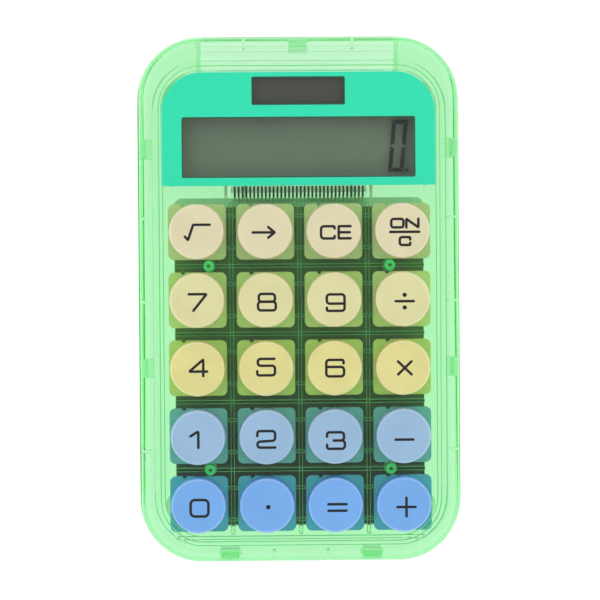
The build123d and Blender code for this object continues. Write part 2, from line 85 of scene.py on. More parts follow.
@dataclass(frozen=True)
class KeypadPlane:
    """The leaning plane on which the two halves of the case part.

    A place on it is (x, y, height): x to the right, y up the slope towards the
    display and height along its normal.
    """

    lean: float
    rise: float

    @classmethod
    def from_frame(cls) -> "KeypadPlane":
        """Reads the lean from a key's joint and the height from the rear shell's rim.

        Returns:
            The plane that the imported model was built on.
        """
        press = next(j for j in frame["joints"] if j["child"].startswith("key_"))
        lean = math.atan2(press["axis"][1], -press["axis"][2])
        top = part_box("rear_shell")[1]
        return cls(lean, top[2] - top[1] * math.tan(lean))

    def place(self, points: np.ndarray) -> np.ndarray:
        """Carries points from the plane's own (x, y, height) into the row frame.

        Args:
            points: An (n, 3) array in metres.

        Returns:
            The same points in the row frame.
        """
        sine, cosine = math.sin(self.lean), math.cos(self.lean)
        x, y, height = points.T
        return np.column_stack((x, y * cosine - height * sine, self.rise + y * sine + height * cosine))

    def slope_of(self, y: float, height: float) -> float:
        """The y up the slope of a place whose row-frame y and height off the plane are given."""
        return (y + height * math.sin(self.lean)) / math.cos(self.lean)


# ---------------------------------------------------------------- surfaces


@dataclass
class Surface:
    """Vertices with the quads and triangles between them."""

    points: np.ndarray
    faces: list[tuple[int, ...]]

    @classmethod
    def joined(cls, parts: Sequence["Surface"]) -> "Surface":
        """Several surfaces as one, with the later ones' faces renumbered.

        Args:
            parts: The surfaces to join.

        Returns:
            One surface that holds them all.
        """
        starts = np.cumsum([0] + [len(part.points) for part in parts])
        faces = [
            tuple(int(i + start) for i in face) for part, start in zip(parts, starts) for face in part.faces
        ]
        return cls(np.vstack([part.points for part in parts]), faces)

    def placed(self, plane: KeypadPlane) -> "Surface":
        """The surface carried onto the keypad plane."""
        return Surface(plane.place(self.points), self.faces)

    def piece(
        self, name: str, body: str, finish: bpy.types.Material, smooth: float = 40.0
    ) -> bpy.types.Object:
        """Makes the surface a Blender object that rides on a body.

        Args:
            name: The piece's name.
            body: The body it moves with.
            finish: Its material.
            smooth: The angle in degrees under which an edge is shaded smooth.

        Returns:
            The new object.
        """
        mesh = bpy.data.meshes.new(name)
        mesh.from_pydata(self.points.tolist(), [], self.faces)
        mesh.materials.append(finish)
        mesh.shade_smooth()
        mesh.set_sharp_from_angle(angle=math.radians(smooth))
        made = bpy.data.objects.new(name, mesh)
        bpy.context.scene.collection.objects.link(made)
        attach(made, body)
        LOG.info("%s: %d points on %s", name, len(mesh.vertices), body)
        return made


def ring_faces(rings: int, sides: int) -> list[tuple[int, ...]]:
    """Quads between closed rings that follow one another.

    Args:
        rings: How many rings.
        sides: How many points each ring has.

    Returns:
        One quad for each side of each gap, ring by ring.
    """
    ring, side = np.meshgrid(np.arange(rings - 1), np.arange(sides), indexing="ij")
    here, after = ring * sides, (ring + 1) * sides
    beside = (side + 1) % sides
    quads = np.stack((here + side, here + beside, after + beside, after + side), axis=-1)
    return [tuple(quad) for quad in quads.reshape(-1, 4).tolist()]


def stacked_rings(rings: np.ndarray) -> Surface:
    """A closed skin over rings: each ring joins the next and both ends close on their middle point.

    Args:
        rings: An (n, sides, 3) array; the rings turn anticlockwise seen from the
            last ring's side, so that the faces look outwards.

    Returns:
        The closed surface.
    """
    count, sides, _ = rings.shape
    first, last = rings[0].mean(axis=0), rings[-1].mean(axis=0)
    points = np.vstack((rings.reshape(-1, 3), first, last))
    faces = ring_faces(count, sides)
    low, high, final = count * sides, count * sides + 1, (count - 1) * sides
    turn = [(i, (i + 1) % sides) for i in range(sides)]
    faces += [(low, b, a) for a, b in turn]
    faces += [(high, final + a, final + b) for a, b in turn]
    return Surface(points, faces)


def turned(profile: np.ndarray, centre: tuple[float, float], sides: int = 96) -> Surface:
    """A turned form: each (radius, height) of the profile is swept round a full circle about the centre.

    Args:
        profile: An (n, 2) array of radius and height, from the foot to the top.
        centre: The axis's x and y.
        sides: How many steps the circle has.

    Returns:
        The closed surface.
    """
    angle = np.linspace(0, 2 * math.pi, sides, endpoint=False)
    radius, height = profile[:, :1], profile[:, 1:]
    x = centre[0] + radius * np.cos(angle)
    y = centre[1] + radius * np.sin(angle)
    return stacked_rings(np.stack((x, y, np.broadcast_to(height, x.shape)), axis=-1))


def softened(
    points: Sequence[tuple[float, float]], radius: float, closed: bool, steps: int = 10
) -> np.ndarray:
    """A run of straight lines with each corner rounded by an arc.

    The arc meets both lines a length radius times tan(half the turn) from the
    corner, or nearer where a line is too short for that.

    Args:
        points: The corners, in order.
        radius: The arcs' radius.
        closed: Whether the last corner joins the first.
        steps: How many points each arc has.

    Returns:
        An (n, 2) array along the rounded run.
    """
    corners = np.array(points, float)
    if closed:
        chosen = range(len(corners))
    else:
        chosen = range(1, len(corners) - 1)
    out = [] if closed else [corners[:1]]
    for i in chosen:
        here = corners[i]
        back, ahead = corners[i - 1] - here, corners[(i + 1) % len(corners)] - here
        room = 0.5 * min(np.linalg.norm(back), np.linalg.norm(ahead))
        back, ahead = back / np.linalg.norm(back), ahead / np.linalg.norm(ahead)
        half = 0.5 * math.acos(float(np.clip(back @ ahead, -1, 1)))
        reach = min(radius / math.tan(half), room)
        t = np.linspace(0, 1, steps)[:, None]
        start, end = here + back * reach, here + ahead * reach
        bow = here + (back + ahead) / np.linalg.norm(back + ahead) * reach / math.cos(half)
        size = reach * math.tan(half)
        ray_a, ray_b = start - bow, end - bow
        swing = math.acos(float(np.clip(ray_a @ ray_b / size**2, -1, 1)))
        out.append(bow + (np.sin((1 - t) * swing) * ray_a + np.sin(t * swing) * ray_b) / math.sin(swing))
    if not closed:
        out.append(corners[-1:])
    return np.vstack(out)


def stroke(path: np.ndarray, width: float, low: float, high: float, closed: bool) -> Surface:
    """A flat printed stroke: a line of even width along a path, round at its ends.

    The side edges stand half the width off the path along its normal. Near an
    open end the half width follows a circle's edge down to nothing.

    Args:
        path: An (n, 2) array of x and y.
        width: The stroke's width.
        low: Height of its underside.
        high: Height of its face.
        closed: Whether the path is a loop.

    Returns:
        The closed surface.
    """
    half = width / 2
    if closed:
        along = np.roll(path, -1, axis=0) - np.roll(path, 1, axis=0)
        reach = np.full(len(path), half)
    else:
        slide = np.linspace(0, 1, 7)
        ease = np.sin(slide * math.pi / 2)
        first, last = path[0] - path[1], path[-1] - path[-2]
        first, last = first / np.linalg.norm(first), last / np.linalg.norm(last)
        head = path[0] + first * half * np.cos(slide * math.pi / 2)[:, None]
        tail = path[-1] + last * half * np.sin(slide * math.pi / 2)[:, None]
        path = np.vstack((head, path[1:-1], tail))
        reach = np.concatenate((ease, np.ones(len(path) - 14), ease[::-1])) * half + 1e-7
        along = np.gradient(path, axis=0)
        along[:7], along[-7:] = -first, last
    along = along / np.linalg.norm(along, axis=1)[:, None]
    side = np.column_stack((-along[:, 1], along[:, 0])) * reach[:, None]
    left, right = path + side, path - side
    heights = [(left, low), (right, low), (right, high), (left, high)]
    rings = np.stack([np.column_stack((edge_painted_highlight, np.full(len(edge_painted_highlight), h))) for edge_painted_highlight, h in heights], axis=1)
    if closed:
        faces = ring_faces(len(rings) + 1, 4)
        faces = [tuple(i % (4 * len(rings)) for i in face) for face in faces]
        return Surface(rings.reshape(-1, 3), [face[::-1] for face in faces])
    skin = stacked_rings(rings)
    return Surface(skin.points, [face[::-1] for face in skin.faces])


def rounded_box(half_x: float, half_y: float, corner: float, steps: int = 10) -> np.ndarray:
    """The outline of a rectangle with round corners about the origin, anticlockwise."""
    corners = [(half_x, -half_y), (half_x, half_y), (-half_x, half_y), (-half_x, -half_y)]
    return softened(corners, corner, True, steps)


# ---------------------------------------------------------------- finishes


class Nodes:
    """A material's node tree, with short calls for the nodes that the finishes share."""

    def __init__(self, name: str) -> None:
        """Starts a material of that name with its shader and output."""
        self.material = bpy.data.materials.new(name)
        self.material.use_nodes = True
        self.tree = self.material.node_tree
        self.shader = self.tree.nodes["Principled BSDF"]
        self.output = self.tree.nodes["Material Output"]

    def add(self, kind: str, **values: object) -> bpy.types.Node:
        """Adds a node and sets its properties.

        Args:
            kind: The node's type name.
            values: Properties by name.

        Returns:
            The node.
        """
        node = self.tree.nodes.new(kind)
        for key, value in values.items():
            setattr(node, key, value)
        return node

    def link(self, source: bpy.types.NodeSocket, target: bpy.types.NodeSocket) -> None:
        """Joins two sockets."""
        self.tree.links.new(source, target)

    def set(self, **values: object) -> None:
        """Sets the shader's inputs, with underscores in place of spaces."""
        for key, value in values.items():
            self.shader.inputs[key.replace("_", " ")].default_value = value

    def place(self) -> bpy.types.NodeSocket:
        """The object coordinates, in metres."""
        return self.add("ShaderNodeTexCoord").outputs["Object"]

    def noise(self, scale: float, detail: float = 3.0) -> bpy.types.NodeSocket:
        """A noise value over the object.

        Args:
            scale: Its waves for each metre.
            detail: How many finer layers it has.

        Returns:
            The value's socket.
        """
        node = self.add("ShaderNodeTexNoise")
        node.inputs["Scale"].default_value = scale
        node.inputs["Detail"].default_value = detail
        self.link(self.place(), node.inputs["Vector"])
        return node.outputs["Fac"]

    def ramp(self, value: bpy.types.NodeSocket, stops: Sequence[tuple[float, tuple]]) -> bpy.types.NodeSocket:
        """Turns a value into a colour through even or given stops.

        Args:
            value: The socket to read.
            stops: (place, colour) pairs.

        Returns:
            The colour's socket.
        """
        node = self.add("ShaderNodeValToRGB")
        elements = node.color_ramp.elements
        while len(elements) < len(stops):
            elements.new(0.5)
        for element, (at, colour) in zip(elements, stops):
            element.position = at
            element.color = (*colour[:3], 1.0)
        self.link(value, node.inputs["Fac"])
        return node.outputs["Color"]

    def let_light_through(self) -> None:
        """Lets lamps' rays and scattered light pass straight through, so that what lies inside is lit."""
        rays = self.add("ShaderNodeLightPath")
        passing = self.add("ShaderNodeMath", operation="MAXIMUM")
        self.link(rays.outputs["Is Shadow Ray"], passing.inputs[0])
        self.link(rays.outputs["Is Diffuse Ray"], passing.inputs[1])
        clear, mix = self.add("ShaderNodeBsdfTransparent"), self.add("ShaderNodeMixShader")
        self.link(passing.outputs["Value"], mix.inputs["Fac"])
        self.link(self.shader.outputs["BSDF"], mix.inputs[1])
        self.link(clear.outputs["BSDF"], mix.inputs[2])
        self.link(mix.outputs["Shader"], self.output.inputs["Surface"])

    def grain(self, scale: float, strength: float, distance: float) -> None:
        """Gives the shader a fine moulded grain.

        Args:
            scale: The grain's waves for each metre.
            strength: How much of the bump is used.
            distance: The grain's depth in metres.
        """
        bump = self.add("ShaderNodeBump")
        bump.inputs["Strength"].default_value = strength
        bump.inputs["Distance"].default_value = distance
        self.link(self.noise(scale, 4.0), bump.inputs["Height"])
        self.link(bump.outputs["Normal"], self.shader.inputs["Normal"])


def near(colour: Colour, share: float) -> Colour:
    """The colour times a share, for the light and dark ends of a soft variation."""
    return (colour[0] * share, colour[1] * share, colour[2] * share)


@dataclass(frozen=True)
class ClearPlastic:
    """Moulded clear plastic whose colour comes from its thickness."""

    name: str
    keeps: Colour = (0.30, 0.93, 0.40)
    density: float = 60.0
    ior: float = 1.49
    roughness: float = 0.02
    grain: float = 0.05
    skin: Colour = (0.70, 0.937, 0.737)

    def make(self) -> bpy.types.Material:
        """Makes the material: a tinted dielectric skin with an absorbing inside."""
        nodes = Nodes(self.name)
        nodes.set(Base_Color=(*self.skin, 1), Roughness=self.roughness, IOR=self.ior, Transmission_Weight=1.0)
        nodes.grain(900.0, self.grain, 0.00002)
        nodes.let_light_through()
        inside = nodes.add("ShaderNodeVolumeAbsorption")
        inside.inputs["Color"].default_value = (*self.keeps, 1.0)
        inside.inputs["Density"].default_value = self.density
        nodes.link(inside.outputs["Volume"], nodes.output.inputs["Volume"])
        return nodes.material


@dataclass(frozen=True)
class SatinPlastic:
    """Opaque satin moulding with a faint fine grain."""

    name: str
    colour: Colour
    roughness: float = 0.42
    grain: float = 0.12
    spread: float = 0.03

    def make(self) -> bpy.types.Material:
        """Makes the material: an even colour that drifts a little, under a fine grain."""
        nodes = Nodes(self.name)
        stops = [(0.35, near(self.colour, 1 - self.spread)), (0.65, near(self.colour, 1 + self.spread))]
        nodes.link(nodes.ramp(nodes.noise(140.0), stops), nodes.shader.inputs["Base Color"])
        nodes.set(Roughness=self.roughness, IOR=1.46)
        nodes.grain(9000.0, self.grain, 0.00003)
        return nodes.material


@dataclass(frozen=True)
class Metal:
    """Plated or brushed metal."""

    name: str
    colour: Colour
    roughness: float = 0.3

    def make(self) -> bpy.types.Material:
        """Makes the material: metal whose roughness drifts with a fine noise."""
        nodes = Nodes(self.name)
        nodes.set(Base_Color=(*self.colour, 1.0), Metallic=1.0)
        low, high = self.roughness * 0.8, self.roughness * 1.2
        tone = nodes.ramp(nodes.noise(1500.0), [(0.3, (low,) * 3), (0.7, (high,) * 3)])
        nodes.link(tone, nodes.shader.inputs["Roughness"])
        return nodes.material


@dataclass(frozen=True)
class SunCell:
    """A dark light-gathering cell: strips along X with fine gaps between them."""

    name: str
    colour: Colour = (0.052, 0.056, 0.041)
    gap_colour: Colour = (0.06, 0.063, 0.048)
    strips: int = 4
    length: float = 28 * MM

    def make(self) -> bpy.types.Material:
        """Makes the material: a saw tooth of x picks the narrow gaps out of the strips."""
        nodes = Nodes(self.name)
        split = nodes.add("ShaderNodeSeparateXYZ")
        nodes.link(nodes.place(), split.inputs["Vector"])
        count = nodes.add("ShaderNodeMath", operation="MULTIPLY_ADD")
        count.inputs[1].default_value = self.strips / self.length
        count.inputs[2].default_value = self.strips / 2
        nodes.link(split.outputs["X"], count.inputs[0])
        tooth = nodes.add("ShaderNodeMath", operation="FRACT")
        nodes.link(count.outputs["Value"], tooth.inputs[0])
        edges = [(0.0, self.gap_colour), (0.02, self.gap_colour), (0.03, self.colour), (0.97, self.colour)]
        nodes.link(nodes.ramp(tooth.outputs["Value"], edges), nodes.shader.inputs["Base Color"])
        nodes.set(Roughness=0.3)
        return nodes.material


@dataclass(frozen=True)
class LeadTracks:
    """Carbon tracks that end under a pale bond where the lead meets the board."""

    name: str
    carbon: Colour = (0.012, 0.014, 0.012)
    bond: Colour = (0.42, 0.82, 0.47)
    bond_y: float = 26.4 * MM
    sharpness: float = 500.0

    def make(self) -> bpy.types.Material:
        """Makes the material: y picks the bond's colour below its edge and carbon above it."""
        nodes = Nodes(self.name)
        split = nodes.add("ShaderNodeSeparateXYZ")
        nodes.link(nodes.place(), split.inputs["Vector"])
        share = nodes.add("ShaderNodeMath", operation="MULTIPLY_ADD")
        share.inputs[1].default_value = self.sharpness
        share.inputs[2].default_value = 0.5 - self.sharpness * self.bond_y
        nodes.link(split.outputs["Y"], share.inputs[0])
        stops = [(0.45, self.bond), (0.55, self.carbon)]
        nodes.link(nodes.ramp(share.outputs["Value"], stops), nodes.shader.inputs["Base Color"])
        nodes.set(Roughness=0.6)
        return nodes.material


@dataclass(frozen=True)
class MatRubber:
    """Dark translucent rubber whose tone slides along y: darker and cooler towards the near keys, lighter
    towards the display end.
    """

    name: str
    far: Colour = (0.10, 0.21, 0.010)
    near_end: Colour = (0.008, 0.062, 0.032)
    length: float = 100 * MM
    middle: float = 0.6

    def make(self) -> bpy.types.Material:
        """Makes the material: the tone slides along y, from the near end to the far one."""
        nodes = Nodes(self.name)
        split = nodes.add("ShaderNodeSeparateXYZ")
        nodes.link(nodes.place(), split.inputs["Vector"])
        share = nodes.add("ShaderNodeMath", operation="MULTIPLY_ADD")
        share.inputs[1].default_value = 1 / self.length
        share.inputs[2].default_value = self.middle
        nodes.link(split.outputs["Y"], share.inputs[0])
        stops = [(0.05, self.near_end), (0.22, self.near_end), (0.45, self.far), (1.0, self.far)]
        nodes.link(nodes.ramp(share.outputs["Value"], stops), nodes.shader.inputs["Base Color"])
        nodes.set(Roughness=0.5)
        return nodes.material


class KeyTone(enum.Enum):
    """The cap's and the flange's plastic of each row of keys, from the display end down."""

    CREAM = ((0.747, 0.680, 0.440), (0.747, 0.700, 0.365))
    PALE_YELLOW = ((0.730, 0.700, 0.367), (0.760, 0.780, 0.308))
    YELLOW = ((0.747, 0.694, 0.283), (0.710, 0.763, 0.220))
    PALE_BLUE = ((0.314, 0.497, 0.701), (0.200, 0.500, 0.580))
    BLUE = ((0.178, 0.418, 0.840), (0.100, 0.477, 0.756))

    def finishes(self) -> list[bpy.types.Material]:
        """The plastics of the cap, of its round edge with a painted highlight and of the flange, in that
        order.
        """
        cap, flange = self.value
        # painted highlight: the round edge gets the cap's colour lifted towards white, for the light its
        # fillet catches
        edge_painted_highlight = tuple(share + 0.12 * (1 - share) for share in cap)
        row = self.name.lower()
        tones = ((f"key_{row}", cap), (f"key_{row}_edge", edge_painted_highlight), (f"key_{row}_flange", flange))
        return [SatinPlastic(name, tone).make() for name, tone in tones]


def dress(node: str, finish: bpy.types.Material) -> None:
    """Puts a finish on every slot of a CAD node.

    Args:
        node: The node's name.
        finish: Its new material.
    """
    mesh = frame["nodes"][node].data
    mesh.materials.clear()
    mesh.materials.append(finish)
    LOG.info("%s: finish %s", node, finish.name)


def key_grid(plane: KeypadPlane) -> tuple[np.ndarray, np.ndarray]:
    """The keys' places on the keypad plane.

    Args:
        plane: The keypad plane.

    Returns:
        The columns' x from left to right and the rows' y from the display down.
    """
    spots = np.array([key_centre(plane, key) for _, keys in KEY_ROWS for key in keys]).reshape(5, 4, 2)
    return spots[:, :, 0].mean(axis=0), spots[:, :, 1].mean(axis=1)


def key_centre(plane: KeypadPlane, key: str) -> tuple[float, float]:
    """A key's middle on the keypad plane, read from its flange's box.

    Args:
        plane: The keypad plane.
        key: The key's node.

    Returns:
        Its x and its y up the slope.
    """
    low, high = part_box(key)
    return (low[0] + high[0]) / 2, plane.slope_of((low[1] + high[1]) / 2, FLANGE_MIDDLE)


# ---------------------------------------------------------------- the case


@dataclass
class Case:
    """The clear shells with painted highlights at their ribs' edges, screw posts and rim, the battery door,
    the screws and the feet.
    """

    plane: KeypadPlane
    tint: ClearPlastic = ClearPlastic("tinted_clear_plastic")
    tray_tint: ClearPlastic = ClearPlastic("tinted_tray_plastic", ior=1.15)
    door_tint: ClearPlastic = ClearPlastic("tinted_door_plastic", density=25.0, skin=(0.87, 0.99, 0.89))
    rib: float = 0.8 * MM
    rib_half_length: float = 32 * MM
    rib_root: float = 5.5 * MM
    bar: tuple[float, float] = (1.05 * MM, 0.36 * MM)
    bar_reach: float = 4.1 * MM
    # width and depth of the painted highlight strips along the ribs
    edge_width: float = 0.15 * MM
    edge_depth: float = 0.12 * MM
    post_x: tuple[float, float] = (-23.3 * MM, 23.3 * MM)
    post_ring: float = 0.92 * MM
    painted_post_rim: float = 0.9 * MM
    post_levels: tuple[float, float] = (5.2 * MM, 5.6 * MM)
    rim_runs: tuple[tuple[float, float, float], ...] = (
        (37.6 * MM, 62.15 * MM, 12.4 * MM),
        (36.05 * MM, 61.1 * MM, 10.9 * MM),
        (35.1 * MM, 59.8 * MM, 10.0 * MM),
    )
    rim_centre: tuple[float, float] = (0.15 * MM, -1.0 * MM)
    painted_rim_line: float = 0.24 * MM
    rim_levels: tuple[float, float] = (6.2 * MM, 6.28 * MM)

    def build(self) -> None:
        """Dresses the case's nodes."""
        clear = self.tint.make()
        dress("front_shell", clear)
        dress("rear_shell", self.tray_tint.make())
        dress("battery_door", self.door_tint.make())
        dress("case_screws", Metal("plated_screw", (0.62, 0.61, 0.58)).make())
        dress("rubber_feet", SatinPlastic("foot_rubber", (0.84, 0.95, 0.85), 0.7, 0.3, 0.01).make())
        self.painted_rib_highlights()
        self.painted_post_rims()
        self.painted_rim_lines()


    def painted_rib_highlights(self) -> None:
        """Painted highlights: pale green strips where the ribs between the keys and their bars meet the face,
        in place of the light the ribs' edges catch.
        """
        columns, rows = key_grid(self.plane)
        between_columns = (columns[1:] + columns[:-1]) / 2
        between_rows = (rows[1:] + rows[:-1]) / 2
        pitch = rows[0] - rows[1]
        high, low = rows[0] + 0.42 * pitch, rows[-1] - 0.45 * pitch
        spots = [(0.0, y, self.rib_half_length, self.rib / 2) for y in (*between_rows, rows[-1] - pitch / 2)]
        spots += [(x, (high + low) / 2, self.rib / 2, (high - low) / 2) for x in between_columns]
        bar_rows = [y + side * self.bar_reach for y in rows for side in (-1, 1)]
        spots += [(x, y, *self.bar) for x in between_columns for y in bar_rows]
        loops = []
        for x, y, half_x, half_y in spots:
            path = rounded_box(half_x, half_y, 0.08 * MM, 4) + np.array((x, y))
            loops.append(stroke(path, self.edge_width, self.rib_root - self.edge_depth, self.rib_root, True))
        # the strips' pale green is a painted highlight, not a moulded feature
        finish = SatinPlastic("painted_rib_highlight", (0.17, 0.5, 0.2), 0.35, 0.0)
        Surface.joined(loops).placed(self.plane).piece("case_painted_rib_highlights", CASE_BODY, finish.make())

    def painted_post_rims(self) -> None:
        """Painted highlights: bright green rings round the four screw posts where they meet the face, in
        place of the light that shows through the posts.
        """
        columns, rows = key_grid(self.plane)
        turn = np.linspace(0, 2 * math.pi, 40, endpoint=False)
        loops = []
        for x in self.post_x:
            for upper, lower in ((0, 1), (3, 4)):
                middle = np.array((x, (rows[upper] + rows[lower]) / 2))
                path = middle + self.post_ring * np.column_stack((np.cos(turn), np.sin(turn)))
                loops.append(stroke(path, self.painted_post_rim, *self.post_levels, True))
        # the ring's bright green is a painted highlight
        finish = SatinPlastic("painted_post_rim", (0.09, 0.85, 0.24), 0.35, 0.0)
        Surface.joined(loops).placed(self.plane).piece("case_painted_post_rims", CASE_BODY, finish.make())

    def painted_rim_lines(self) -> None:
        """Painted highlights: fine pale lines round the raised rim's two edges, in place of the bright lines
        that refraction at the clear wall's edges makes.
        """
        loops = []
        for half_x, half_y, corner in self.rim_runs:
            path = rounded_box(half_x, half_y, corner, 24) + np.array(self.rim_centre)
            loops.append(stroke(path, self.painted_rim_line, *self.rim_levels, True))
        # the lines' pale green is painted light, not a moulded feature
        finish = SatinPlastic("painted_rim_line", (0.24, 0.78, 0.30), 0.4, 0.0)
        Surface.joined(loops).placed(self.plane).piece("case_painted_rim_lines", CASE_BODY, finish.make())


# ---------------------------------------------------------------- the display


@dataclass
class Display:
    """The lens with its print, the sun cell, the display glass and its flat lead."""

    plane: KeypadPlane
    lcd_window: tuple[float, float, float] = (60.0 * MM, 15.6 * MM, 39.2 * MM)
    sun_window: tuple[float, float, float] = (24.0 * MM, 7.3 * MM, 53.65 * MM)
    window_corner: float = 0.6 * MM
    # width and heights of the painted shadow strip round the windows
    edge_width: float = 0.3 * MM
    edge_levels: tuple[float, float] = (6.53 * MM, 6.59 * MM)

    def build(self) -> None:
        """Dresses the display's nodes."""
        white = (1.0, 1.0, 1.0)
        lens = ClearPlastic("clear_acrylic", (0.9, 0.97, 0.93), 12.0, 1.3, 0.01, 0.0, white)
        glass = ClearPlastic("display_glass", (0.93, 0.97, 0.93), 12.0, 1.1, 0.0, 0.0, white)
        film = ClearPlastic("polariser_film", (0.6, 0.66, 0.58), 300.0, 1.1, 0.0, 0.0, white)
        dress("display_lens", lens.make())
        dress("display_mask", SatinPlastic("teal_print", (0.01, 0.77, 0.45), 0.4, 0.0, 0.01).make())
        dress("solar_cell", SunCell("sun_cell").make())
        for node in ("lcd_upper_glass", "lcd_lower_glass"):
            dress(node, glass.make())
        dress("lcd_front_polariser", film.make())
        dress("lcd_reflector", SatinPlastic("reflector_film", (0.13, 0.186, 0.123), 0.6, 0.1, 0.02).make())
        dress("lcd_digits", SatinPlastic("display_ink", (0.004, 0.008, 0.006), 0.5, 0.0, 0.02).make())
        dress("lcd_lead", ClearPlastic("lead_film", (0.7, 0.75, 0.5), 900.0, 1.1, 0.2, 0.0, white).make())
        self.painted_window_shadows()
        dress("lcd_lead_tracks", LeadTracks("carbon_track").make())


    def painted_window_shadows(self) -> None:
        """Painted shadow: a dark strip round each window, in place of the shade at the print's edge."""
        loops = []
        for wide, high, y in (self.lcd_window, self.sun_window):
            inset = self.edge_width / 2
            path = rounded_box(wide / 2 - inset, high / 2 - inset, self.window_corner) + np.array((0.0, y))
            loops.append(stroke(path, self.edge_width, *self.edge_levels, True))
        # the strip's dark green is painted shadow, not print
        finish = SatinPlastic("painted_window_shadow", (0.012, 0.10, 0.055), 0.4, 0.0)
        Surface.joined(loops).placed(self.plane).piece("display_painted_window_shadows", CASE_BODY, finish.make())


# ---------------------------------------------------------------- board, mat and power


@dataclass
class Inside:
    """The board with its parts, the keypad mat, the battery and the wires."""

    def build(self) -> None:
        """Dresses the nodes inside the case."""
        dress("circuit_board", SatinPlastic("board_laminate", (0.53, 0.93, 0.58), 0.35, 0.1).make())
        dress("keypad_mat", MatRubber("dark_green_silicone").make())
        dress("chip_blob", SatinPlastic("black_resin", (0.01, 0.01, 0.01), 0.15, 0.05).make())
        dress("capacitors", Metal("capacitor_can", (0.35, 0.37, 0.42), 0.35).make())
        dress("battery_cell", SatinPlastic("cell_wrap", (0.55, 0.56, 0.58), 0.3, 0.02).make())
        plate = Metal("contact_plate", (0.7, 0.68, 0.62), 0.25).make()
        dress("battery_contact_plate", plate)
        dress("battery_contact_spring", plate)
        dress("battery_wires", SatinPlastic("pale_sleeve", (0.85, 0.95, 0.86), 0.45, 0.05).make())
        dress("solar_wires", SatinPlastic("white_sleeve", (0.9, 0.97, 0.9), 0.45, 0.05).make())


# ---------------------------------------------------------------- the keys


@dataclass(frozen=True)
class Glyph:
    """A printed sign: strokes and dots about the key's middle, in millimetres."""

    lines: tuple[tuple[tuple[float, float], ...], ...] = ()
    sharp: tuple[tuple[tuple[float, float], ...], ...] = ()
    loops: tuple[tuple[tuple[float, float], ...], ...] = ()
    dots: tuple[tuple[float, float, float], ...] = ()
    corner: float = 0.75
    shift: tuple[float, float] = (0.25, -0.75)


def box_line(left: float, right: float, low: float, high: float) -> tuple[tuple[float, float], ...]:
    """The four corners of a glyph's loop."""
    return ((left, low), (right, low), (right, high), (left, high))


WIDE, TALL = 2.26, 2.1

